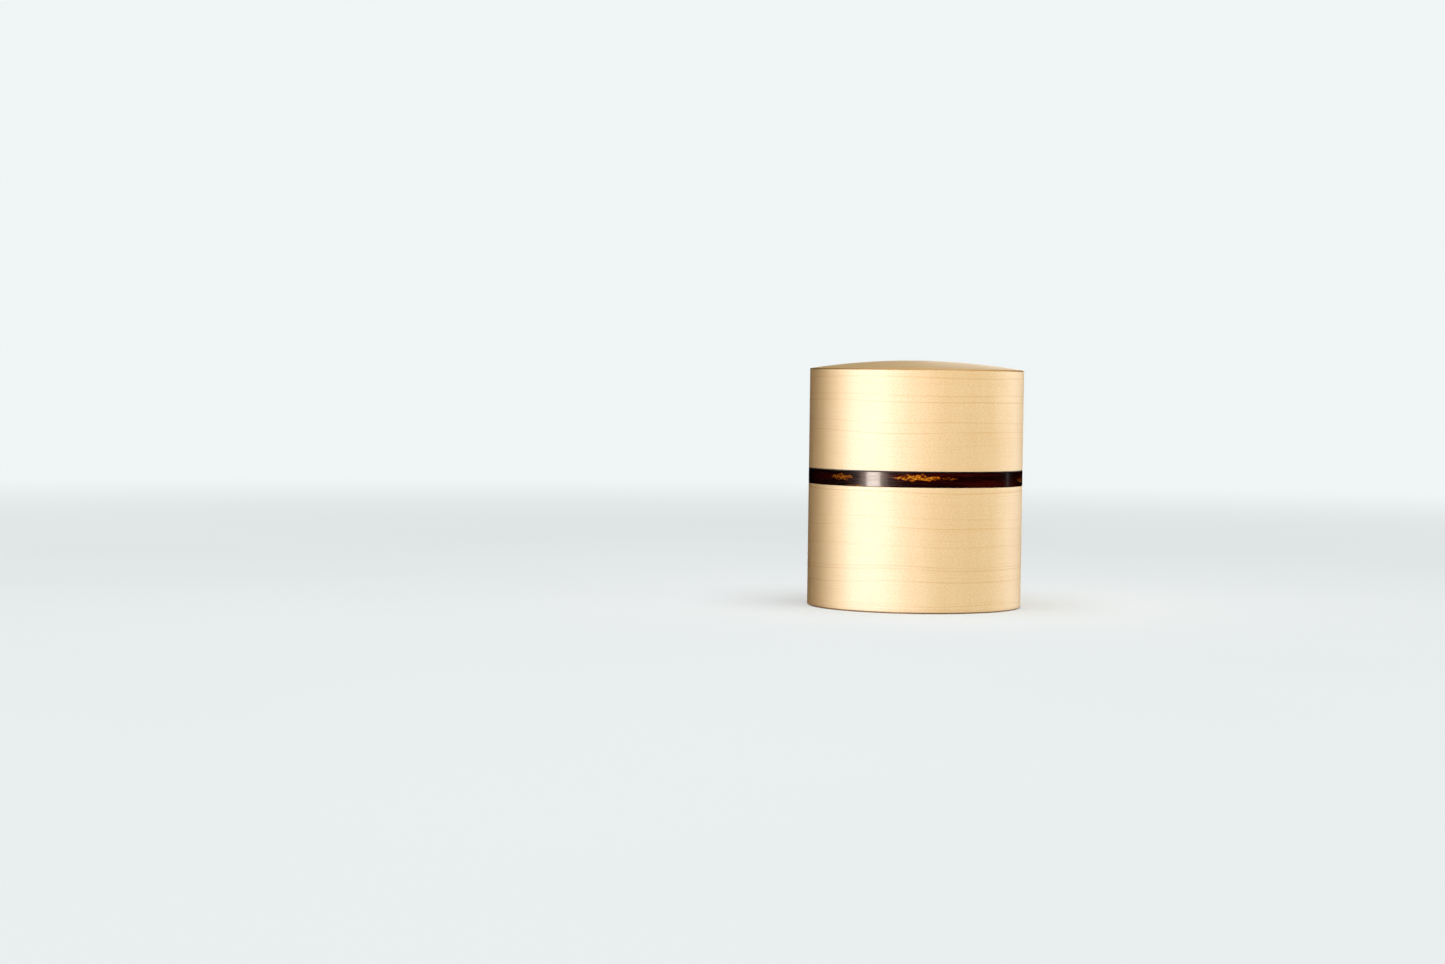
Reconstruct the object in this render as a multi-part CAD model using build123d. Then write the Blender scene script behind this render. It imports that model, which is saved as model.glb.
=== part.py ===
from build123d import *

import math
import os

# Round wooden tea caddy: a slip-on lid with a domed top, a body with a dark cherry-bark band at its rim, a
# bark-covered inner sleeve that the lid slides over, and an inner lid with a turned knob.
#
# Every wall is wound from thin sheets, as the real ones are: a face veneer, two core plies and a bark lining.
# Each sheet has its own scarfed seam, at a different place round the wall.
# Millimetres, +Z up. Z is the caddy's axis, and Z = 0 is the surface that it stands on.

# Driving dimensions
outer_diameter = 80.0
total_height = 92.0
dome_rise = 3.3  # the middle of the lid's top above its rim
body_height = 51.2  # the body's wall, band included
band_height = 5.5
joint_gap = 0.1  # between the body's rim and the lid's mouth
sleeve_rise = 22.0  # how far the inner sleeve stands above the body's rim

# Sheets and boards
veneer = 0.5
ply = 0.8
bark = 0.3
band_bark = 0.55  # the band is a thicker strip than the veneer, so it stands a hair proud
sleeve_ply = 1.0
plug_ply = 1.2
base_board = 3.2
inner_board = 2.0
top_board_flange = 2.0  # the lid's top board, where it sits on the end of the wall
top_board_spigot = 1.8  # how far it reaches down inside the wall

# Fits and edges
slip_clearance = 0.1  # radial, between what slides and what it slides on
band_seat_gap = 0.02  # between the band's lower edge and the veneer below it
base_recess = 0.5  # the underside is set in from the foot, so only the rim touches the table
foot_lift = 0.25  # the face veneer stops this far above the foot
foot_break = 0.4  # the veneer's corner at the foot, rubbed down further than the others
edge_break = 0.15  # the sanded corner of a veneer or of the band
bark_break = 0.1  # the rubbed corner of a bark facing

# Seams, as azimuths in degrees from +X. +Y is the back.
back = 90.0
seam_step = 110.0  # each layer's seam is turned this far on from the seam of the layer outside it
band_seam_offset = -6.0  # the band's ends meet a little to one side of the veneer's
seam_width = 0.08
scarf_angle = 45.0

# Radii of the wall, from the outside in
r_outer = outer_diameter / 2
r_veneer = r_outer - veneer
r_ply = r_veneer - ply
r_body_core = r_ply - ply
r_sleeve = r_body_core
r_sleeve_core = r_sleeve - bark
r_sleeve_bore = r_sleeve_core - sleeve_ply
r_chamber = r_sleeve_bore - bark
r_lid_bore = r_sleeve + slip_clearance
r_lid_core = r_lid_bore + bark

# Heights
z_band = body_height - band_height
z_base_board = base_recess + bark
z_floor = z_base_board + base_board
z_sleeve_top = body_height + sleeve_rise
z_lid = body_height + joint_gap
z_lid_rim = total_height - dome_rise
z_lid_veneer_top = z_lid_rim - veneer
z_lid_core_top = z_lid_veneer_top - top_board_flange
z_top_board = z_lid_core_top - top_board_spigot
z_ceiling = z_top_board - bark

# Inner lid
flange_inset = 0.4  # its edge is set in from the sleeve's outer face, so the lid clears it
plug_depth = 7.0
r_flange = r_sleeve - flange_inset
r_plug = r_chamber - slip_clearance
r_plug_core = r_plug - bark
r_plug_bore = r_plug_core - plug_ply
z_board_top = z_sleeve_top + inner_board
z_face = z_board_top + bark

# Its knob, with heights measured up from the inner lid's face
knob_height = 6.3
knob_foot_radius = 4.8
knob_neck_radius = 4.6
knob_neck_height = 3.2
knob_waist = 0.7  # how deep the neck is waisted
knob_head_radius = 6.8
knob_head_height = 4.0
knob_undercut = 0.1  # how hollow the underside of the head is
knob_crown_radius = 6.6
knob_crown_rise = 0.9
knob_cheek = 0.45  # how full the side of the head is
peg_radius = 2.0
peg_height = 3.6
peg_socket_floor = 0.4  # what is left of the inner board under the peg


def turned(*lines):
    """A solid turned about Z from the closed outline in the (radius, height) plane that the lines make."""
    outline = [edge for line in lines for edge in (Plane.XZ * line).edges()]
    return revolve(make_face(outline), Axis.Z)


def polygon_turned(*points):
    """A solid turned about Z from a polygon of (radius, height) points."""
    return turned(Polyline(*points, close=True))


def ring(inner, outer, bottom, top):
    """A ring or a short tube with square corners. It is a disc if inner is 0."""
    return polygon_turned((inner, bottom), (outer, bottom), (outer, top), (inner, top))


def broken_tube(inner, outer, bottom, top, break_bottom, break_top):
    """A tube whose outer corners are broken at 45 degrees. A break of 0 leaves that corner square."""
    points = [(inner, bottom), (outer - break_bottom, bottom)]
    if break_bottom:
        points.append((outer, bottom + break_bottom))
    points.append((outer, top - break_top))
    if break_top:
        points.append((outer - break_top, top))
    points.append((inner, top))
    return polygon_turned(*points)


def with_seam(wall, inner, outer, bottom, top, azimuth):
    """The wall cut open by a scarfed seam: the two ends of the wound sheet."""
    thickness = outer - inner
    blade = Box(4 * thickness, seam_width, 2 * (top - bottom))
    place = Pos((inner + outer) / 2, 0, (top + bottom) / 2) * Rot(0, 0, scarf_angle)
    return wall - Rot(0, 0, azimuth) * place * blade


def seam_azimuth(layer):
    """Where the seam of a layer is. Layer 0 is the face veneer, and the layers are counted inwards."""
    return back + layer * seam_step


def wound(inner, outer, bottom, top, layer, break_bottom=0.0, break_top=0.0):
    """A sheet wound into a tube, with its seam."""
    wall = broken_tube(inner, outer, bottom, top, break_bottom, break_top)
    return with_seam(wall, inner, outer, bottom, top, seam_azimuth(layer))


def cap_height(radius, rim_radius, rim_height, rise):
    """The height, at a radius from the axis, of a spherical cap with that rim and rise."""
    sphere_radius = (rim_radius**2 + rise**2) / (2 * rise)
    return rim_height + rise - sphere_radius + math.sqrt(sphere_radius**2 - radius**2)


def cap_arc(radius, rim_radius, rim_height, rise):
    """The outline of that cap, from a radius up to the axis."""
    points = [(r, cap_height(r, rim_radius, rim_height, rise)) for r in (radius, radius / 2, 0)]
    return ThreePointArc(*points)


def lid_top_veneer():
    """The domed face of the lid. Its edge covers the end of the side veneer and shows as a fine line."""
    shoulder = r_outer - edge_break
    shoulder_height = cap_height(shoulder, r_outer, z_lid_rim, dome_rise)
    return turned(
        cap_arc(shoulder, r_outer, z_lid_rim, dome_rise),
        Line((0, total_height), (0, total_height - veneer)),
        cap_arc(r_outer, r_outer, z_lid_veneer_top, dome_rise),
        Polyline((r_outer, z_lid_veneer_top), (r_outer, z_lid_rim - edge_break), (shoulder, shoulder_height)),
    )


def lid_top_board():
    """The board under the domed face. Its flange sits on the wound wall and its spigot fits inside it."""
    edge_height = cap_height(r_veneer, r_outer, z_lid_veneer_top, dome_rise)
    return turned(
        cap_arc(r_veneer, r_outer, z_lid_veneer_top, dome_rise),
        Polyline(
            (0, total_height - veneer),
            (0, z_top_board),
            (r_lid_core, z_top_board),
            (r_lid_core, z_lid_core_top),
            (r_veneer, z_lid_core_top),
            (r_veneer, edge_height),
        ),
    )


def lid_side_veneer(bottom):
    """The face veneer of the lid's wall, trimmed at the top to the curve of the domed face."""
    inner_top = cap_height(r_veneer, r_outer, z_lid_veneer_top, dome_rise)
    outer_face = (r_outer, bottom), (r_outer, z_lid_veneer_top)
    wall = polygon_turned((r_veneer, bottom), *outer_face, (r_veneer, inner_top))
    return with_seam(wall, r_veneer, r_outer, bottom, z_lid_rim, seam_azimuth(0))


def lid_parts():
    """The slip-on lid."""
    mouth = z_lid + bark
    return {
        "lid_top_veneer": lid_top_veneer(),
        "lid_top_board": lid_top_board(),
        "lid_side_veneer": lid_side_veneer(mouth),
        "lid_core_outer_ply": wound(r_ply, r_veneer, mouth, z_lid_core_top, layer=1),
        "lid_core_inner_ply": wound(r_lid_core, r_ply, mouth, z_lid_core_top, layer=2),
        "lid_bark_lining": wound(r_lid_bore, r_lid_core, mouth, z_ceiling, layer=3),
        "lid_ceiling_bark": ring(0, r_lid_core, z_ceiling, z_top_board),
        "lid_mouth_bark": broken_tube(r_lid_bore, r_outer, z_lid, mouth, bark_break, 0),
    }


def bark_band():
    """The strip of cherry bark round the body's rim."""
    outer = r_veneer + band_bark
    strip = broken_tube(r_veneer, outer, z_band, body_height, edge_break, edge_break)
    return with_seam(strip, r_veneer, outer, z_band, body_height, seam_azimuth(0) + band_seam_offset)


def body_parts():
    """The body's wall, its band and its base. The base board is glued inside the wound wall."""
    rim = body_height - bark
    veneer_top = z_band - band_seat_gap
    return {
        "body_side_veneer": wound(r_veneer, r_outer, foot_lift, veneer_top, 0, foot_break, edge_break),
        "bark_band": bark_band(),
        "body_core_outer_ply": wound(r_ply, r_veneer, 0, rim, layer=1),
        "body_core_inner_ply": wound(r_body_core, r_ply, 0, rim, layer=2),
        "body_rim_bark": ring(r_sleeve, r_veneer, rim, body_height),
        "base_board": ring(0, r_body_core, z_base_board, z_floor),
        "base_bark": ring(0, r_body_core, base_recess, z_base_board),
    }


def sleeve_parts():
    """The inner sleeve: a second wound tube that stands on the base board, with bark on both faces."""
    rim = z_sleeve_top - bark
    return {
        "sleeve_outer_bark": wound(r_sleeve_core, r_sleeve, z_floor, rim, layer=3),
        "sleeve_core": wound(r_sleeve_bore, r_sleeve_core, z_floor, rim, layer=4),
        "sleeve_bark_lining": wound(r_chamber, r_sleeve_bore, z_floor, rim, layer=5),
        "sleeve_rim_bark": broken_tube(r_chamber, r_sleeve, rim, z_sleeve_top, 0, bark_break),
        "floor_bark": ring(0, r_chamber, z_floor, z_floor + bark),
    }


def inner_lid_disc(socket_floor):
    """The inner lid's board, with a blind socket for the knob's peg."""
    return polygon_turned(
        (0, z_sleeve_top),
        (r_flange, z_sleeve_top),
        (r_flange, z_board_top),
        (peg_radius, z_board_top),
        (peg_radius, socket_floor),
        (0, socket_floor),
    )


def inner_lid_knob(peg_top):
    """A small turned knob: a waisted neck under a full head with a shallow crown, bored for its peg."""
    knob_top = z_face + knob_height
    crown_edge = knob_top - knob_crown_rise
    foot = (knob_foot_radius, z_face)
    neck = (knob_neck_radius, z_face + knob_neck_height)
    head = (knob_head_radius, z_face + knob_head_height)
    crown = (knob_crown_radius, crown_edge)
    return turned(
        SagittaArc(foot, neck, knob_waist),
        SagittaArc(neck, head, knob_undercut),
        SagittaArc(head, crown, -knob_cheek),
        cap_arc(knob_crown_radius, knob_crown_radius, crown_edge, knob_crown_rise),
        Polyline((0, knob_top), (0, peg_top), (peg_radius, peg_top), (peg_radius, z_face), foot),
    )


def inner_lid_parts():
    """The inner lid: a board that rests on the sleeve's rim, a wound plug ring under it, and the knob."""
    plug_bottom = z_sleeve_top - plug_depth
    socket_floor = z_sleeve_top + peg_socket_floor
    peg_top = z_face + peg_height
    return {
        "inner_lid_disc": inner_lid_disc(socket_floor),
        "inner_lid_face_bark": ring(peg_radius, r_flange, z_board_top, z_face),
        "inner_lid_plug_bark": wound(r_plug_core, r_plug, plug_bottom, z_sleeve_top, 6, bark_break),
        "inner_lid_plug_ring": wound(r_plug_bore, r_plug_core, plug_bottom, z_sleeve_top, layer=7),
        "inner_lid_under_bark": ring(0, r_plug_bore, z_sleeve_top - bark, z_sleeve_top),
        "inner_lid_knob": inner_lid_knob(peg_top),
        "knob_peg": ring(0, peg_radius, socket_floor, peg_top),
    }


def main():
    os.makedirs("parts", exist_ok=True)
    nodes = {**lid_parts(), **body_parts(), **sleeve_parts(), **inner_lid_parts()}
    for name, shape in nodes.items():
        export_step(shape, f"parts/{name}.step")
    print(f"{len(nodes)} nodes, chamber radius {r_chamber:.2f}, knob top {z_face + knob_height:.2f}")


main()
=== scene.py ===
import math
from collections import namedtuple

import bmesh
import bpy
import numpy as np
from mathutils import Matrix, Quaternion, Vector

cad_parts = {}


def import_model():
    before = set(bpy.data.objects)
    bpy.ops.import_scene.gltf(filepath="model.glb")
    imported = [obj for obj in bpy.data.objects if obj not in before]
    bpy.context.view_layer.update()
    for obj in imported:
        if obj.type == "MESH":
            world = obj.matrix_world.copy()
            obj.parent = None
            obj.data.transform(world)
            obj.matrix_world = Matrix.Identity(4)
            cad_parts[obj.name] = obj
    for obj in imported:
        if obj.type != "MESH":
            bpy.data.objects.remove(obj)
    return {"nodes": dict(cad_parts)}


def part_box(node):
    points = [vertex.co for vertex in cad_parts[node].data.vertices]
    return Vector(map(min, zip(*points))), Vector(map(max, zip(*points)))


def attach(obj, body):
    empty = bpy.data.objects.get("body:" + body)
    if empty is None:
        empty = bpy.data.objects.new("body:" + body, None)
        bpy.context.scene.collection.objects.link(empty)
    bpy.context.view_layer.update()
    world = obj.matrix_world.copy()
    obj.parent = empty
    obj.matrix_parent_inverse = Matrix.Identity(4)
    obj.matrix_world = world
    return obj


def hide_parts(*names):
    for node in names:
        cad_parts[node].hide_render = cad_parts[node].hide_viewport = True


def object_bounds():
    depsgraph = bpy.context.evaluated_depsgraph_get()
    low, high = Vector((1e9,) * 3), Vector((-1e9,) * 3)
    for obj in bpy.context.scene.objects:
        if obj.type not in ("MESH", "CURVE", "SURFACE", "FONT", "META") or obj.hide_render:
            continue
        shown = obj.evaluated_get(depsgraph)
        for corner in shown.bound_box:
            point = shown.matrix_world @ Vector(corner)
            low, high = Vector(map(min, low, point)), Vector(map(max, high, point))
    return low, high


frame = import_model()
cad_low, cad_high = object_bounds()

# A round wooden tea caddy: maple veneer outside, a cherry-bark band round the body's rim, bark inside, and an
# inner lid with a turned knob. The caddy's axis is Z, and its front is towards -Y. Metres throughout.
MM = 0.001
VENEER = 0.5 * MM
BARK = 0.3 * MM
RELIEF = 0.03 * MM  # how far a lenticel stands above the polished bark
EDGE_SHADE_REACH = 0.25 * MM  # how far the painted shade of an edge spreads from it
FINE, SMOOTH = 1320, 384  # steps round the caddy: for pieces with relief, and for plain ones

FRONT = math.radians(-90)
VENEER_SEAM = 90.0  # azimuth in degrees: the back
BAND_SEAM = 84.0
LAYER_STEP = 110.0  # each layer's seam is this far on from that of the layer outside it
SEAM_GAP = 0.08 * MM
RELIEF_LIMIT = 1.3  # the strongest that a lenticel is drawn, in units of RELIEF
DOME_STEPS = 40

# colours are linear
MAPLE_PALE = (0.84, 0.64, 0.385)
MAPLE_WARM = (0.77, 0.53, 0.275)
MAPLE_LINE = (0.62, 0.305, 0.05)
# painted shade: the darker colour of the wood along its rounded edges and joints
MAPLE_EDGE_SHADE = (0.52, 0.24, 0.05)
BARK_BLACK = (0.002, 0.0008, 0.0006)
BARK_DARK = (0.004, 0.0005, 0.0004)
BARK_RED = (0.040, 0.0020, 0.0016)
BARK_LIGHT = (0.075, 0.009, 0.005)
BARK_FIBRE = (0.15, 0.045, 0.015)
LENTICEL_STOPS = (
    (0.0, (0.02, 0.003, 0.002)),
    (0.25, (0.20, 0.028, 0.002)),
    (0.55, (0.62, 0.16, 0.004)),
    (1.0, (1.0, 0.46, 0.04)),
)


def layer_seam(layer):
    """The azimuth of the seam in the sheet that is so many layers in from the veneer."""
    return (VENEER_SEAM + layer * LAYER_STEP) % 360


# ---------------------------------------------------------------- sizes that come from the CAD nodes


def radius_of(node):
    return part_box(node)[1].x


def bottom_of(node):
    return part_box(node)[0].z


def top_of(node):
    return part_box(node)[1].z


# ---------------------------------------------------------------- outlines: (radius, height) points


def rounded(corners, reaches, steps=5):
    """A closed outline with each corner softened over its reach. A reach of 0 keeps the corner sharp."""
    points = []
    for i, (corner, reach) in enumerate(zip(corners, reaches)):
        corner = Vector(corner)
        if not reach:
            points.append(corner)
            continue
        start = corner + (Vector(corners[i - 1]) - corner).normalized() * reach
        end = corner + (Vector(corners[(i + 1) % len(corners)]) - corner).normalized() * reach
        for step in range(steps + 1):
            share = step / steps
            points.append(start * (1 - share) ** 2 + corner * 2 * share * (1 - share) + end * share**2)
    return points


def divided(points, longest, beyond=0.0):
    """The closed outline with its runs at or past a radius cut into pieces no longer than longest."""
    cut = []
    for i, here in enumerate(points):
        following = Vector(points[(i + 1) % len(points)])
        cut.append(here)
        if min(here[0], following[0]) < beyond:
            continue
        pieces = math.ceil((following - Vector(here)).length / longest)
        cut += [Vector(here).lerp(following, k / pieces) for k in range(1, pieces)]
    return cut


def wall(inner, outer, bottom, top, soft_bottom=0.0, soft_top=0.0):
    """The outline of a tube's wall, with its two outer corners softened."""
    corners = [(inner, bottom), (outer, bottom), (outer, top), (inner, top)]
    return rounded(corners, [0, soft_bottom, soft_top, 0])


def cap_height(radius, rim_radius, rim_height, rise):
    """The height, at a radius from the axis, of a spherical cap with that rim and rise."""
    ball = (rim_radius**2 + rise**2) / (2 * rise)
    return rim_height + rise - ball + math.sqrt(ball**2 - radius**2)


# ---------------------------------------------------------------- meshes


def piece_from(name, points, faces, body, replaced, material):
    """A new smooth piece that rides on a body and stands for CAD nodes."""
    mesh = bpy.data.meshes.new(name)
    mesh.from_pydata(points, [], faces)
    piece = bpy.data.objects.new(name, mesh)
    bpy.context.scene.collection.objects.link(piece)
    mesh.materials.append(material)
    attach(piece, body)
    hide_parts(*replaced)
    return piece


def finish_mesh(piece):
    """Merges the points that meet on the axis or at a closed turn, turns every face outwards, and smooths."""
    mesh = piece.data
    work = bmesh.new()
    work.from_mesh(mesh)
    bmesh.ops.remove_doubles(work, verts=work.verts, dist=0.001 * MM)
    bmesh.ops.recalc_face_normals(work, faces=work.faces)
    work.to_mesh(mesh)
    work.free()
    mesh.shade_smooth()
    mesh.set_sharp_from_angle(angle=math.radians(50))
    return piece


def mark(piece, name, values):
    """Gives each point of the piece a number that its material reads."""
    layer = piece.data.attributes.new(name, "FLOAT", "POINT")
    layer.data.foreach_set("value", np.asarray(values, np.float32).ravel())


def edge_shade(heights, edges):
    """How near each height is to one of the edges, from 0 to 1: the mask of the painted shade along rounded
    edges and joints.
    """
    near = [np.exp(-np.abs(heights - edge) / EDGE_SHADE_REACH) for edge in edges]
    return np.max(near, axis=0) if near else np.zeros_like(heights)


def strip_faces(columns, rows, closed):
    """Quads between neighbouring columns of points, with the last column joined to the first if closed."""
    column = np.arange(columns if closed else columns - 1)[:, None]
    row = np.arange(rows)[None, :]
    after, above = (column + 1) % columns, (row + 1) % rows
    corners = [column * rows + row, after * rows + row, after * rows + above, column * rows + above]
    return np.stack(corners, -1).reshape(-1, 4).tolist()


def turned(name, outline, steps, body, replaced, material, relief=None, edges=()):
    """A piece turned about Z from a closed outline. relief(x, y) raises its upper face, and edges are the
    heights where the material paints the shade of its rounded edges and joints darker."""
    radius, height = np.array([tuple(p) for p in outline]).T
    angle = np.linspace(0, 2 * math.pi, steps, endpoint=False)[:, None]
    x, y = radius * np.cos(angle), radius * np.sin(angle)
    z = np.broadcast_to(height, x.shape).copy()
    raised = np.zeros_like(x)
    if relief:
        raised = relief(x, y) * (z >= height.max() - 0.01 * MM)
        z += raised * RELIEF
    points = np.stack([x, y, z], -1).reshape(-1, 3)
    faces = strip_faces(steps, len(outline), closed=True)
    piece = piece_from(name, points.tolist(), faces, body, replaced, material)
    mark(piece, "lenticel", raised)
    mark(piece, "edge", edge_shade(z, edges))
    return finish_mesh(piece)


def wound(name, outline, seam, steps, body, slot, replaced, material, relief=None, edges=(), ragged=0.0):
    """A sheet wound round Z from a closed outline, open at its scarfed seam. relief(arc, height) raises its
    outer face, edges are the heights where the material paints the shade of its rounded edges and joints
    darker, and ragged makes the lower edge uneven."""
    radius, height = np.array([tuple(p) for p in outline]).T
    widest = radius.max()
    turn = np.linspace(0, 2 * math.pi - SEAM_GAP / widest, steps + 1)[:, None]
    angle = math.radians(seam) + turn + (widest - radius) / widest
    arc = (np.mod(angle - FRONT + math.pi, 2 * math.pi) - math.pi) * widest
    z = np.broadcast_to(height, angle.shape).copy()
    near_bottom = np.clip(1 - (z - height.min()) / (0.5 * MM), 0, 1)
    z += ragged * near_bottom * waviness(arc / MM)
    raised = np.zeros_like(z)
    if relief:
        raised = relief(arc, z) * (radius >= widest - 0.01 * MM)
    spread = radius + raised * RELIEF
    points = np.stack([spread * np.cos(angle), spread * np.sin(angle), z], -1).reshape(-1, 3)
    rows = len(outline)
    faces = strip_faces(steps + 1, rows, closed=False)
    faces += [list(range(rows)), list(range(steps * rows, (steps + 1) * rows))]
    piece = piece_from(name, points.tolist(), faces, body, replaced, material)
    mark(piece, "lenticel", raised)
    mark(piece, "edge", edge_shade(z, edges))
    return finish_mesh(piece)


def waviness(arc):
    """A gentle unevenness, from 0 to 1, along an arc in millimetres."""
    swings = np.sin(arc * 0.9) + np.sin(arc * 0.37 + 2) + 0.6 * np.sin(arc * 2.3 + 1)
    return np.clip(swings / 2.6, 0, 1) ** 1.5


# ---------------------------------------------------------------- lenticels: the golden eyes of cherry bark

# along and across are in millimetres, from the middle of the front and from the foot of the caddy
Lenticel = namedtuple("Lenticel", "along across length width strands strength")


def eye(along, across, lenticel, phase):
    """How strongly a lenticel shows at points: strands that part and cross between its two pointed ends."""
    p = (along - lenticel.along) / (lenticel.length / 2)
    q = (across - lenticel.across) / (lenticel.width / 2)
    swell = np.clip(1 - np.abs(p) ** 1.5, 0, 1)
    thin = (0.07 + 0.07 * swell) * 3.0 / lenticel.width
    shown = np.zeros_like(p)
    for strand in range(lenticel.strands):
        share = (strand * 0.618 + phase) % 1
        sway = np.sin(p * (2.0 + 1.7 * share) * math.pi + phase + 2.4 * strand)
        line = (0.2 + 0.8 * share) * sway * swell
        bright = 0.55 + 0.45 * np.sin(p * (7 + 5 * share) + 1.3 * strand)
        shown = np.maximum(shown, np.exp(-np.square((q - line) / thin)) * bright)
    filled = np.exp(-np.square(q / (0.15 + 0.6 * swell)) * 1.6) * swell
    return (shown * np.clip(swell * 2.5, 0, 1) + 0.35 * filled) * lenticel.strength


def eyes(lenticels):
    """A relief function that shows these lenticels."""

    def relief(along, across):
        along, across = along / MM, across / MM
        shown = np.zeros(np.broadcast(along, across).shape)
        for i, lenticel in enumerate(lenticels):
            near = np.abs(along - lenticel.along) < lenticel.length / 2
            near &= np.abs(across - lenticel.across) < lenticel.width
            shown[near] = np.maximum(shown[near], eye(along[near], across[near], lenticel, phase=2.4 * i))
        return np.clip(shown, 0, RELIEF_LIMIT)

    return relief


def scattered(rng, count, half_width, low, high, lengths, widths, strands):
    """Lenticels placed at random over a sheet."""
    return [
        Lenticel(
            rng.uniform(-half_width, half_width),
            rng.uniform(low, high),
            rng.uniform(*lengths),
            rng.uniform(*widths),
            int(rng.integers(strands[0], strands[1] + 1)),
            rng.uniform(0.35, 0.9),
        )
        for _ in range(count)
    ]


def band_lenticels(bottom, half_width, rng):
    """The band's large eyes. Those at the front are listed one by one, and the others go round the back."""
    middle = bottom + 3.4
    placed = [
        Lenticel(-32.0, middle - 0.1, 13.0, 3.3, 7, 0.85),
        Lenticel(-2.0, middle + 0.1, 19.5, 3.4, 9, 1.0),
        Lenticel(3.5, middle - 0.2, 22.0, 1.3, 3, 0.45),
        Lenticel(9.2, middle + 0.1, 6.5, 1.1, 3, 0.45),
        Lenticel(-25.0, bottom + 0.45, 12.0, 0.6, 2, 0.6),
    ]
    around = np.arange(-half_width + 12, half_width - 8, 23.0)
    for along in around[(around < -48) | (around > 40)]:
        shape = rng.uniform(9, 20), rng.uniform(1.6, 3.4), int(rng.integers(4, 9)), rng.uniform(0.5, 0.95)
        placed.append(Lenticel(along + rng.uniform(-5, 5), middle + rng.uniform(-1.4, 0.8), *shape))
    return placed


# ---------------------------------------------------------------- materials


class Graph:
    """The node tree of one material. Each call adds a node and returns the socket that the next one reads."""

    def __init__(self, name, constants):
        self.material = bpy.data.materials.new(name)
        self.material.use_nodes = True
        self.tree = self.material.node_tree
        self.shader = self.tree.nodes["Principled BSDF"]
        for socket, value in constants.items():
            self.shader.inputs[socket].default_value = value

    def node(self, kind, inputs, **settings):
        made = self.tree.nodes.new(kind)
        for setting, value in settings.items():
            setattr(made, setting, value)
        for socket, value in inputs.items():
            if isinstance(value, bpy.types.NodeSocket):
                self.tree.links.new(value, made.inputs[socket])
            else:
                made.inputs[socket].default_value = value
        return made

    def math(self, operation, a, b=0.0):
        return self.node("ShaderNodeMath", {0: a, 1: b}, operation=operation).outputs[0]

    def product(self, a, b):
        return self.math("MULTIPLY", a, b)

    def attribute(self, name):
        return self.node("ShaderNodeAttribute", {}, attribute_name=name).outputs["Fac"]

    def position(self, seam=VENEER_SEAM):
        """Where a point is, in millimetres, turned so that a seam at that azimuth comes to the back."""
        place = self.node("ShaderNodeTexCoord", {}).outputs["Object"]
        turn = (0, 0, math.radians(VENEER_SEAM - seam))
        size = (1 / MM, 1 / MM, 1 / MM)
        return self.node("ShaderNodeMapping", {"Vector": place, "Rotation": turn, "Scale": size}).outputs[0]

    def separate(self, vector):
        return self.node("ShaderNodeSeparateXYZ", {0: vector}).outputs

    def wound_sheet(self, radius, seam):
        """A point's place on a wound sheet, in millimetres: the arc from the front, and the height."""
        x, y, z = self.separate(self.position(seam))
        angle = self.math("ARCTAN2", x, self.product(y, -1.0))
        arc = self.product(angle, radius / MM)
        return self.node("ShaderNodeCombineXYZ", {"X": arc, "Y": z}).outputs[0]

    def stretched(self, vector, scale, offset=(0, 0, 0), turn=0.0):
        spin = (0, 0, math.radians(turn))
        inputs = {"Vector": vector, "Scale": scale, "Location": offset, "Rotation": spin}
        return self.node("ShaderNodeMapping", inputs).outputs[0]

    def noise(self, vector, detail=2.0, roughness=0.5, distortion=0.0):
        inputs = {"Vector": vector, "Scale": 1.0, "Detail": detail, "Roughness": roughness}
        return self.node("ShaderNodeTexNoise", {**inputs, "Distortion": distortion}).outputs["Fac"]

    def cell_edges(self, vector):
        """How far a point is from the edges of the cells round random points."""
        inputs = {"Vector": vector, "Scale": 1.0}
        return self.node("ShaderNodeTexVoronoi", inputs, feature="DISTANCE_TO_EDGE").outputs["Distance"]

    def ranged(self, value, low, high, to_low=0.0, to_high=1.0):
        """The value's range from low to high, stretched and clamped to the other range."""
        inputs = {"Value": value, 1: low, 2: high, 3: to_low, 4: to_high}
        return self.node("ShaderNodeMapRange", inputs, interpolation_type="SMOOTHSTEP").outputs[0]

    def lines(self, across, spacing, half_width):
        """Lines at random places along a distance, each of its own strength and about spacing apart."""
        inputs = {"W": self.product(across, 1 / spacing), "Scale": 1.0}
        cell = self.node("ShaderNodeTexVoronoi", inputs, voronoi_dimensions="1D")
        near = self.ranged(cell.outputs["Distance"], 0.0, half_width / spacing, 1.0, 0.0)
        return self.product(near, self.ranged(cell.outputs["Color"], 0.2, 0.75, 0.15, 1.0))

    def mix(self, share, a, b):
        first, second = [(*colour, 1) if isinstance(colour, tuple) else colour for colour in (a, b)]
        return self.node("ShaderNodeMix", {0: share, 6: first, 7: second}, data_type="RGBA").outputs[2]

    def ramp(self, value, stops):
        made = self.node("ShaderNodeValToRGB", {0: value})
        while len(made.color_ramp.elements) < len(stops):
            made.color_ramp.elements.new(0.5)
        for element, (place, colour) in zip(made.color_ramp.elements, stops):
            element.position = place
            element.color = (*colour, 1)
        return made.outputs[0]

    def finish(self, colour, roughness, height, depth):
        """Sets the surface's colour and roughness, and bumps it by a height map that is depth deep."""
        bump = self.node("ShaderNodeBump", {"Height": height, "Distance": depth, "Strength": 1.0}).outputs[0]
        for socket, value in {"Base Color": colour, "Roughness": roughness, "Normal": bump}.items():
            self.tree.links.new(value, self.shader.inputs[socket])
        return self.material


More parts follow.
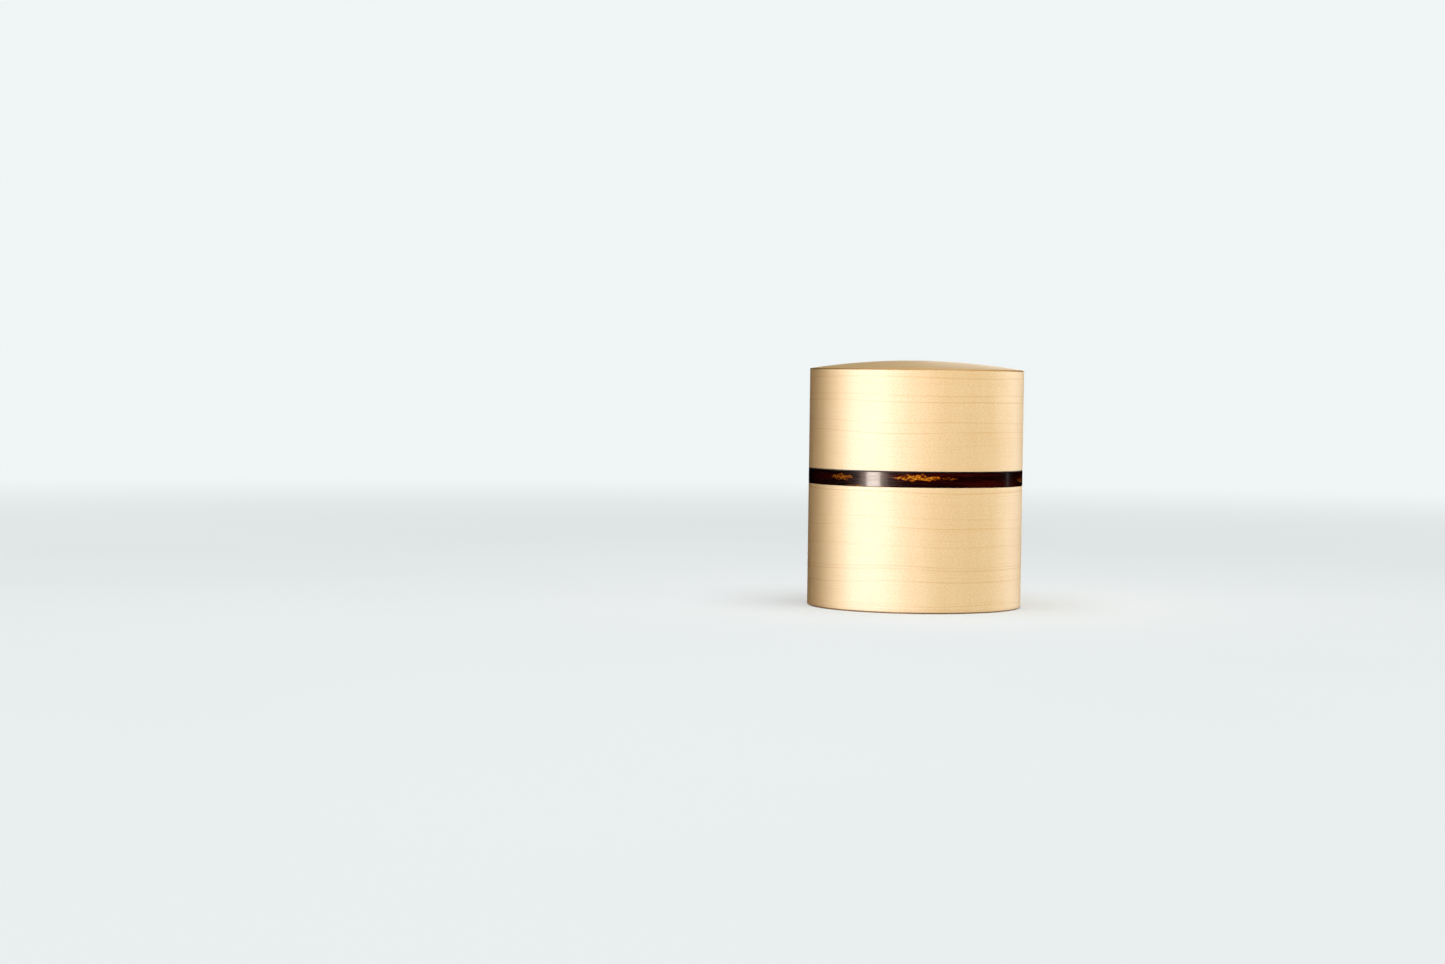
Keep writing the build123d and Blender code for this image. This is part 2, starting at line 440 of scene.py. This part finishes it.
def maple(name, sheet_of, waver=7.0, line_strength=0.52):
    """Oiled maple veneer: pale gold, with thin straight growth lines, a faint curl across the grain, fine
    fibres and small ray flecks. sheet_of gives a point's place on the flat sheet, with the grain along its X.
    waver is how far the growth lines stray, in millimetres. line_strength is how dark the bold ones are."""
    g = Graph(name, {"Coat Weight": 0.15, "Coat Roughness": 0.32, "Specular IOR Level": 1.0})
    sheet = sheet_of(g)
    along, across, _ = g.separate(sheet)
    drift = g.noise(g.stretched(sheet, (0.012, 0.03, 1)), detail=1)
    level = g.math("ADD", across, g.math("ADD", g.product(along, 0.006), g.product(drift, waver)))
    fade = g.noise(g.stretched(sheet, (0.025, 0.35, 1), offset=(7, 3, 0)), detail=2)
    bold = g.product(g.lines(level, 5.0, 0.34), g.ranged(fade, 0.3, 0.55, 0.3, 1.0))
    faint = g.product(g.lines(level, 1.7, 0.24), g.ranged(fade, 0.62, 0.4))

    slow = g.noise(g.stretched(sheet, (0.010, 0.045, 1)), detail=3)
    curl = g.noise(g.stretched(sheet, (0.19, 0.03, 1), turn=6), detail=2)
    fibre = g.noise(g.stretched(sheet, (0.07, 4.0, 1)), detail=4, roughness=0.6)
    speck = g.noise(g.stretched(sheet, (1.1, 2.8, 1)), detail=2, roughness=0.7)
    colour = g.mix(g.ranged(slow, 0.3, 0.7, 0.0, 0.4), MAPLE_PALE, MAPLE_WARM)
    colour = g.mix(g.ranged(curl, 0.35, 0.65, 0.0, 0.22), colour, MAPLE_WARM)
    colour = g.mix(g.ranged(fibre, 0.42, 0.72, 0.0, 0.15), colour, MAPLE_LINE)
    colour = g.mix(g.ranged(speck, 0.42, 0.68, 0.0, 0.36), colour, MAPLE_LINE)
    colour = g.mix(g.product(faint, 0.22), colour, MAPLE_LINE)
    colour = g.mix(g.product(bold, line_strength), colour, MAPLE_LINE)
    # painted shade: the wood turns darker along its rounded edges and joints
    colour = g.mix(g.product(g.attribute("edge"), 0.9), colour, MAPLE_EDGE_SHADE)
    height = g.math("ADD", fibre, g.product(speck, 0.5))
    return g.finish(colour, g.ranged(fibre, 0.3, 0.7, 0.38, 0.5), height, 0.015 * MM)


def cherry_bark(name, sheet_of, polish):
    """Cherry bark: deep maroon with fine streaks along the sheet, and golden lenticels. polish is from 0,
    satin, to 1, a lacquered shine."""
    shine = {"Coat Weight": 0.5 * polish, "Coat Roughness": 0.09, "Coat IOR": 1.5}
    g = Graph(name, {**shine, "Specular IOR Level": 0.5})
    sheet = sheet_of(g)
    slow = g.noise(g.stretched(sheet, (0.03, 0.25, 1)), detail=3)
    streak = g.noise(g.stretched(sheet, (0.11, 3.4, 1)), detail=4, roughness=0.6)
    hair = g.noise(g.stretched(sheet, (0.05, 7.0, 1), offset=(3, 9, 0)), detail=2)
    grain = g.noise(g.stretched(sheet, (1.6, 5.0, 1)), detail=3, roughness=0.65)
    holes = g.cell_edges(g.stretched(sheet, (0.9, 1.9, 1)))

    colour = g.mix(g.ranged(slow, 0.35, 0.7), BARK_DARK, BARK_RED)
    colour = g.mix(g.ranged(streak, 0.45, 0.8, 0.0, 0.5), colour, BARK_LIGHT)
    colour = g.mix(g.ranged(hair, 0.7, 0.8, 0.0, 0.3), colour, BARK_FIBRE)
    flaked = g.product(g.ranged(grain, 0.32, 0.6, 0.2, 1.2), g.ranged(holes, 0.02, 0.2, 0.4, 1.0))
    gold = g.product(g.attribute("lenticel"), flaked)
    colour = g.mix(g.ranged(gold, 0.08, 0.35), colour, g.ramp(gold, LENTICEL_STOPS))
    # near black at the marked edges: the bark's own dark cut edge, and painted shade of the joint lines there
    colour = g.mix(g.attribute("edge"), colour, BARK_BLACK)
    height = g.math("ADD", streak, g.product(grain, 0.3))
    rough = 0.38 - 0.18 * polish
    return g.finish(colour, g.ranged(streak, 0.3, 0.7, rough - 0.06, rough + 0.14), height, 0.004 * MM)


def bark_edge(name, sheet_of):
    """The cut edge of bark: nearly black, with its layers showing as fine lines round the edge."""
    g = Graph(name, {"Coat Weight": 0.2, "Coat Roughness": 0.3})
    layers = g.noise(g.stretched(sheet_of(g), (0.3, 12.0, 12.0)), detail=3)
    colour = g.mix(g.ranged(layers, 0.4, 0.7), BARK_BLACK, (0.03, 0.009, 0.005))
    return g.finish(colour, g.ranged(layers, 0.3, 0.7, 0.4, 0.55), layers, 0.02 * MM)


def board(name, light, dark, ring_scale):
    """Plain sawn or wound wood, for boards and core plies: soft growth bands and fine pores."""
    g = Graph(name, {"Specular IOR Level": 0.35})
    place = g.position()
    bands = g.noise(g.stretched(place, (0.02, ring_scale, ring_scale)), detail=3, distortion=0.4)
    pores = g.noise(g.stretched(place, (0.3, 5.0, 5.0)), detail=3, roughness=0.65)
    colour = g.mix(g.ranged(bands, 0.35, 0.65), light, dark)
    colour = g.mix(g.ranged(pores, 0.5, 0.8, 0.0, 0.4), colour, (0.3, 0.17, 0.07))
    return g.finish(colour, g.ranged(pores, 0.3, 0.7, 0.5, 0.68), pores, 0.04 * MM)


def turned_maple(name):
    """Turned maple for the knob: its growth rings are cut across by the turning."""
    g = Graph(name, {"Coat Weight": 0.25, "Coat Roughness": 0.28})
    place = g.stretched(g.position(), (1, 1, 1), offset=(9, 14, 0))
    wobble = g.noise(g.stretched(place, (0.2, 0.2, 0.06)), detail=2)
    flat = g.stretched(place, (1, 1, 0.04))
    away = g.node("ShaderNodeVectorMath", {0: flat}, operation="LENGTH").outputs["Value"]
    rings = g.lines(g.math("ADD", away, g.product(wobble, 2.0)), 1.3, 0.2)
    pores = g.noise(g.stretched(place, (5, 5, 0.5)), detail=3, roughness=0.65)
    colour = g.mix(g.ranged(wobble, 0.35, 0.65, 0.0, 0.6), MAPLE_PALE, MAPLE_WARM)
    colour = g.mix(g.product(rings, 0.6), colour, MAPLE_LINE)
    colour = g.mix(g.ranged(pores, 0.52, 0.8, 0.0, 0.3), colour, MAPLE_LINE)
    return g.finish(colour, g.ranged(pores, 0.3, 0.7, 0.36, 0.5), pores, 0.02 * MM)


def on_wall(radius, seam):
    """For materials on a wound sheet."""
    return lambda g: g.wound_sheet(radius, seam)


def on_flat(turn, offset=(0, 0, 0)):
    """For materials on a flat sheet seen from above, with its grain turned by degrees from X."""
    return lambda g: g.stretched(g.position(), (1, 1, 1), offset=offset, turn=turn)


# ---------------------------------------------------------------- the pieces


def disc(name, node, body, material):
    """A plain flat disc that stands for a CAD node."""
    outline = wall(0, radius_of(node), bottom_of(node), top_of(node))
    turned(name, outline, SMOOTH, body, [node], material)


def lid_shell():
    """The lid's wall, its domed top, and the bark trim on its mouth."""
    side, top, mouth = "lid_side_veneer", "lid_top_veneer", "lid_mouth_bark"
    inner, outer = radius_of("lid_core_outer_ply"), radius_of(side)
    joint = 0.06 * MM  # the soft corners where two sheets meet, which show as a fine line
    outline = divided(wall(inner, outer, bottom_of(side), bottom_of(top), joint, joint), 1.2 * MM)
    material = maple("maple_lid_wall", on_wall(outer, VENEER_SEAM))
    wound("lid_wall", outline, VENEER_SEAM, SMOOTH, "lid", "maple_veneer", [side], material)

    rim_height = bottom_of(top) + VENEER
    rise = top_of(top) - rim_height
    radii = [outer * i / DOME_STEPS for i in range(DOME_STEPS + 1)]
    upper = [(r, cap_height(r, outer, rim_height, rise)) for r in radii]
    lower = [(r, cap_height(r, outer, rim_height - VENEER, rise)) for r in reversed(radii)]
    softened = [0] * DOME_STEPS + [0.3 * MM, joint] + [0] * DOME_STEPS
    material = maple("maple_lid_top", on_flat(6, offset=(31, 400, 0)), waver=2.5, line_strength=0.35)
    edges = [bottom_of(top) + 0.2 * MM]
    outline = rounded(upper + lower, softened)
    turned("lid_top", outline, SMOOTH, "lid", [top], material, edges=edges)

    bore = radius_of("lid_bark_lining") - BARK
    outline = wall(bore, outer, bottom_of(mouth), top_of(mouth), joint, joint)
    material = bark_edge("lid_mouth_edge", on_wall(outer, VENEER_SEAM))
    turned("lid_mouth", outline, SMOOTH, "lid", [mouth], material)


def lid_inside():
    """The bark that lines the lid."""
    lining, ceiling = "lid_bark_lining", "lid_ceiling_bark"
    outer, seam = radius_of(lining), layer_seam(3)
    material = cherry_bark("bark_lid_lining", on_wall(outer, seam), polish=0.35)
    outline = wall(outer - BARK, outer, bottom_of(lining), top_of(lining))
    wound("lid_lining", outline, seam, SMOOTH, "lid", "bark_lining", [lining], material)
    material = cherry_bark("bark_lid_ceiling", on_flat(20), polish=0.35)
    disc("lid_ceiling", ceiling, "lid", material)


def body_shell():
    """The body's wall, the bark band round its rim, the rim itself, and the bark under the base."""
    side, band, rim, base = "body_side_veneer", "bark_band", "body_rim_bark", "base_bark"
    inner, outer = radius_of("body_core_outer_ply"), radius_of(side)
    outline = divided(wall(inner, outer, bottom_of(side), top_of(side), 0.4 * MM, 0.08 * MM), 1.2 * MM)
    material = maple("maple_body_wall", on_wall(outer, VENEER_SEAM))
    edges = [bottom_of(side)]
    wound("body_wall", outline, VENEER_SEAM, SMOOTH, "body", "maple_veneer", [side], material, edges=edges)

    face = radius_of(band) - RELIEF_LIMIT * RELIEF - 0.01 * MM
    outline = wall(inner, face, bottom_of(band), top_of(band), 0.16 * MM, 0.12 * MM)
    outline = divided(outline, 0.1 * MM, beyond=face - 0.001 * MM)
    material = cherry_bark("bark_band_polished", on_wall(face, BAND_SEAM), polish=1.0)
    relief = eyes(band_lenticels(bottom_of(band) / MM, math.pi * face / MM, rng))
    edges = [bottom_of(band), top_of(band)]
    shape = outline, BAND_SEAM, FINE
    wound("band", *shape, "body", "cherry_bark", [band], material, relief, edges, ragged=0.1 * MM)

    outline = wall(radius_of("sleeve_outer_bark"), inner, bottom_of(rim), top_of(rim), 0, 0.05 * MM)
    material = bark_edge("body_rim_edge", on_wall(inner, VENEER_SEAM))
    turned("body_rim", outline, SMOOTH, "body", [rim], material)
    disc("base_underside", base, "body", cherry_bark("bark_base", on_flat(0), polish=0.3))


def sleeve():
    """The inner sleeve: bark outside, bark inside, a rim, and the bark on the chamber's floor."""
    outside, lining, rim, floor = "sleeve_outer_bark", "sleeve_bark_lining", "sleeve_rim_bark", "floor_bark"
    outer, top, seam = radius_of(outside), top_of(outside), layer_seam(3)
    shown_from = top_of("bark_band") - 1 * MM
    outline = [(outer - BARK, bottom_of(outside)), (outer, bottom_of(outside))]
    outline += [(outer, z) for z in np.linspace(shown_from, top, 80)] + [(outer - BARK, top)]
    material = cherry_bark("bark_sleeve", on_wall(outer, seam), polish=0.7)
    marks = scattered(rng, 46, math.pi * outer / MM, shown_from / MM, top / MM, (4, 15), (0.7, 1.8), (1, 4))
    relief = eyes(marks)
    wound("sleeve_bark", outline, seam, 960, "body", "cherry_bark", [outside], material, relief=relief)

    bore, seam = radius_of(lining), layer_seam(5)
    outline = wall(bore - BARK, bore, bottom_of(lining), top_of(lining))
    material = cherry_bark("bark_sleeve_lining", on_wall(bore, seam), polish=0.35)
    wound("sleeve_lining", outline, seam, SMOOTH, "body", "bark_lining", [lining], material)

    outline = wall(bore - BARK, outer, bottom_of(rim), top_of(rim), 0, 0.1 * MM)
    material = bark_edge("sleeve_rim_edge", on_wall(outer, VENEER_SEAM))
    turned("sleeve_lip", outline, SMOOTH, "body", [rim], material)
    disc("chamber_floor", floor, "body", cherry_bark("bark_floor", on_flat(0), polish=0.35))


def inner_lid():
    """The inner lid: a board faced with bark above and below, and a bark-covered plug."""
    board_node, face = "inner_lid_disc", "inner_lid_face_bark"
    plug, under = "inner_lid_plug_bark", "inner_lid_under_bark"
    outer = radius_of(board_node)
    soft = 0.25 * MM
    outline = wall(0, outer, bottom_of(board_node), top_of(board_node), soft, 0)
    material = board("inner_board_wood", (0.62, 0.42, 0.22), (0.5, 0.3, 0.13), 0.4)
    turned("inner_lid_board", outline, SMOOTH, "inner_lid", [board_node], material)

    low, high = bottom_of(face), top_of(face) - RELIEF_LIMIT * RELIEF
    rings = [(r, high) for r in np.linspace(outer - soft, 0, 100)]
    outline = rounded([(0, low), (outer, low), (outer, high), rings[0]], [0, 0, soft, 0])[:-1] + rings
    material = cherry_bark("bark_inner_lid", on_flat(-12), polish=0.7)
    half = outer / MM
    relief = eyes(scattered(rng, 60, half, -half, half, (3, 14), (0.6, 1.7), (1, 4)))
    turned("inner_lid_face", outline, 720, "inner_lid", [face], material, relief=relief)

    outer, seam = radius_of(plug), layer_seam(6)
    outline = wall(outer - BARK, outer, bottom_of(plug), top_of(plug), 0.1 * MM, 0)
    material = cherry_bark("bark_plug", on_wall(outer, seam), polish=0.5)
    wound("plug_bark", outline, seam, SMOOTH, "inner_lid", "bark_lining", [plug], material)
    material = cherry_bark("bark_inner_lid_underside", on_flat(0), polish=0.35)
    disc("inner_lid_underside", under, "inner_lid", material)


def carried_over():
    """The CAD nodes that stay as they are: boards, core plies, and the knob with its peg."""
    plies = board("core_ply_wood", (0.66, 0.47, 0.27), (0.52, 0.33, 0.16), 0.5)
    boards = board("board_wood", (0.64, 0.45, 0.25), (0.5, 0.31, 0.14), 0.3)
    turned_wood = turned_maple("turned_maple_wood")
    finishes = {
        "lid_core_outer_ply": plies,
        "lid_core_inner_ply": plies,
        "body_core_outer_ply": plies,
        "body_core_inner_ply": plies,
        "sleeve_core": plies,
        "inner_lid_plug_ring": plies,
        "lid_top_board": boards,
        "base_board": boards,
        "inner_lid_knob": turned_wood,
        "knob_peg": turned_wood,
    }
    for node, material in finishes.items():
        for slot in frame["nodes"][node].material_slots:
            slot.material = material


# ---------------------------------------------------------------- stage, lights and camera

CAMERA_PLACE = Vector((-0.0724, -1.016, 0.081))
CAMERA_TURN = math.degrees(math.atan2(CAMERA_PLACE.y, CAMERA_PLACE.x))  # where it stands round the caddy
CAMERA_PITCH = -2.0  # degrees up from level
CAMERA_ROLL = 0.73
LENS = 67.4

LAMP_DISTANCE = 1.2
PANEL_DISTANCE, PANEL_HEIGHT = 0.9, 0.6
NEUTRAL = (1, 1, 1)
SOFT_WHITE = (1, 0.96, 1)
WARM = (1, 0.86, 0.6)
COOL = (0.92, 0.94, 1)
AMBIENT, AMBIENT_GLOSS = 0.07, 0.005  # how bright the world is for surfaces, and in their gloss


def camera():
    data = bpy.data.cameras.new("camera")
    data.lens = LENS
    data.clip_start, data.clip_end = 0.01, 20
    view = bpy.data.objects.new("camera", data)
    view.location = CAMERA_PLACE
    pitch = math.radians(CAMERA_PITCH)
    aim = Vector((0, math.cos(pitch), math.sin(pitch))).to_track_quat("-Z", "Y")
    view.rotation_mode = "QUATERNION"
    view.rotation_quaternion = aim @ Quaternion((0, 0, 1), math.radians(CAMERA_ROLL))
    bpy.context.scene.collection.objects.link(view)
    bpy.context.scene.camera = view


def backdrop():
    """A pale floor that curves up into a wall all round, so that it has no horizon from any side. Near the
    caddy it is lit, so that a shadow falls on it, and far away it glows the same pale grey."""
    floor_radius, curve, height = 1.9, 1.1, 2.2
    bend_steps, round_steps = 16, 128
    profile = [(0.0, 0.0), (0.5, 0.0), (1.0, 0.0), (floor_radius, 0.0)]
    for step in range(1, bend_steps + 1):
        angle = math.radians(90 * step / bend_steps)
        profile.append((floor_radius + curve * math.sin(angle), curve * (1 - math.cos(angle))))
    profile.append((floor_radius + curve, height))
    turns = [2 * math.pi * i / round_steps for i in range(round_steps)]
    points = [(r * math.cos(turn), r * math.sin(turn), z) for turn in turns for r, z in profile]
    rows = len(profile)
    faces = [f for f in strip_faces(round_steps, rows, closed=True) if f[0] % rows != rows - 1]
    mesh = bpy.data.meshes.new("backdrop")
    mesh.from_pydata(points, [], faces)
    mesh.shade_smooth()
    mesh.materials.append(backdrop_paper())
    floor = bpy.data.objects.new("backdrop", mesh)
    bpy.context.scene.collection.objects.link(floor)
    floor.visible_diffuse = False
    floor.visible_glossy = False
    floor.visible_shadow = False
    return floor


def backdrop_paper():
    g = Graph("backdrop_paper", {"Specular IOR Level": 0.0})
    place = g.stretched(g.position(), (MM, MM, MM))
    away = g.node("ShaderNodeVectorMath", {0: place}, operation="LENGTH").outputs["Value"]
    far = g.ranged(away, 0.25, 1.4)
    cloud = g.noise(g.stretched(place, (3, 3, 3)), detail=2)
    tooth = g.noise(g.stretched(g.position(), (2, 2, 2)), detail=2)
    colour = g.mix(g.ranged(cloud, 0.3, 0.7), (0.60, 0.625, 0.628), (0.58, 0.605, 0.61))
    colour = g.mix(far, colour, (0.0, 0.0, 0.0))
    glow = g.mix(far, (0.27, 0.283, 0.284), (0.87, 0.912, 0.915))
    g.tree.links.new(glow, g.shader.inputs["Emission Color"])
    g.shader.inputs["Emission Strength"].default_value = 1.0
    return g.finish(colour, g.ranged(tooth, 0.3, 0.7, 0.85, 0.95), tooth, 0.01 * MM)


def area_light(name, turn, elevation, distance, size, radiance, receivers, colour):
    """A soft rectangular light that faces the caddy's middle and lights only its receivers. turn is how many
    degrees it stands to the right of the camera, or to the left where it is negative."""
    middle = Vector((0, 0, (cad_low.z + cad_high.z) / 2))
    azimuth, elevation = math.radians(CAMERA_TURN + turn), math.radians(elevation)
    level = math.cos(elevation)
    out = Vector((math.cos(azimuth) * level, math.sin(azimuth) * level, math.sin(elevation)))
    data = bpy.data.lights.new(name, "AREA")
    data.shape = "RECTANGLE"
    data.size, data.size_y = size
    data.energy = radiance * math.pi * data.size * data.size_y
    data.color = colour
    light = bpy.data.objects.new(name, data)
    light.location = middle + out * distance
    light.rotation_mode = "QUATERNION"
    light.rotation_quaternion = out.to_track_quat("Z", "Y")
    light.visible_camera = False
    light.light_linking.receiver_collection = receivers
    bpy.context.scene.collection.objects.link(light)
    return light


def lamp(name, turn, elevation, size, radiance, receivers, colour=NEUTRAL, distance=LAMP_DISTANCE):
    """A softbox that lights surfaces and doesn't show in their gloss."""
    light = area_light(name, turn, elevation, distance, size, radiance, receivers, colour)
    light.visible_glossy = False


def panel(name, turn, width, radiance, receivers, colour=NEUTRAL, height=PANEL_HEIGHT, elevation=0):
    """A reflector that shows only in the gloss of its receivers."""
    light = area_light(name, turn, elevation, PANEL_DISTANCE, (width, height), radiance, receivers, colour)
    light.visible_diffuse = False


def receivers(name, pieces):
    """A collection of the pieces that some lights fall on."""
    collection = bpy.data.collections.new(name)
    for piece in pieces:
        collection.objects.link(piece)
    return collection


def lights(floor):
    """A broad main light above the camera and soft lights all round. The sheen comes from upright panels, one
    set for the wood and one for the polished bark. The domed top has a lamp and a panel of its own, and the
    floor a lamp."""
    pieces = [piece for piece in bpy.context.scene.objects if piece.type == "MESH" and piece != floor]
    barks = [piece for piece in pieces if "bark" in piece.active_material.name]
    walls = [piece for piece in pieces if piece not in barks and piece.name != "lid_top"]
    caddy = receivers("caddy", pieces)
    bark = receivers("bark", barks)
    wood = receivers("wood", walls)
    crown = receivers("crown", [bpy.data.objects["lid_top"]])
    sides = receivers("sides", barks + walls)
    ground = receivers("floor", [floor])

    lamp("main", 14, 34, (0.95, 0.8), 17.0, caddy, (1, 0.985, 0.9), distance=1.8)
    lamp("left_card", -60, 5, (0.45, 0.45), 6.0, wood, (1, 0.78, 0.5))
    lamp("right", 110, 5, (0.6, 0.45), 13.0, wood, COOL)
    lamp("back", 170, 12, (0.7, 0.5), 13.0, sides, (1, 0.95, 0.86))
    lamp("top_back", 170, 12, (0.7, 0.5), 18.0, crown, (1, 0.92, 0.8))

    panel("left_panel", -47, 0.98, 7.3, wood, SOFT_WHITE)
    panel("front_panel", -3, 0.47, 2.5, wood, SOFT_WHITE)
    panel("front_right_panel", 34, 0.8, 0.8, wood, (1, 0.93, 0.8))
    panel("far_left_panel", -86, 0.60, 3.4, wood, WARM)
    panel("right_panel", 122, 0.8, 1.3, wood)
    panel("left_shine", -44.5, 0.24, 16.0, bark, (1, 0.86, 0.76))
    panel("left_glow", -44.5, 0.5, 1.2, bark, (1, 0.7, 0.55))
    panel("right_shine", 115, 0.06, 0.4, bark)
    panel("back_shine", 175, 0.14, 2.8, crown, height=0.2, elevation=12)

    lamp("overhead", 0, 80, (2.0, 2.0), 3.9, ground, distance=2.0)
    world()


def world():
    """A dim even light from all round, dimmer still in the gloss."""
    studio = bpy.data.worlds.new("studio")
    studio.use_nodes = True
    tree = studio.node_tree
    background = tree.nodes["Background"]
    path = tree.nodes.new("ShaderNodeLightPath")
    level = tree.nodes.new("ShaderNodeMapRange")
    level.inputs["To Min"].default_value = AMBIENT
    level.inputs["To Max"].default_value = AMBIENT_GLOSS
    tree.links.new(path.outputs["Is Glossy Ray"], level.inputs["Value"])
    tree.links.new(level.outputs[0], background.inputs["Strength"])
    bpy.context.scene.world = studio


# ---------------------------------------------------------------- the whole

rng = np.random.default_rng(11)
camera()
lid_shell()
lid_inside()
body_shell()
sleeve()
inner_lid()
carried_over()
lights(backdrop())
bpy.context.scene.view_settings.view_transform = "Standard"
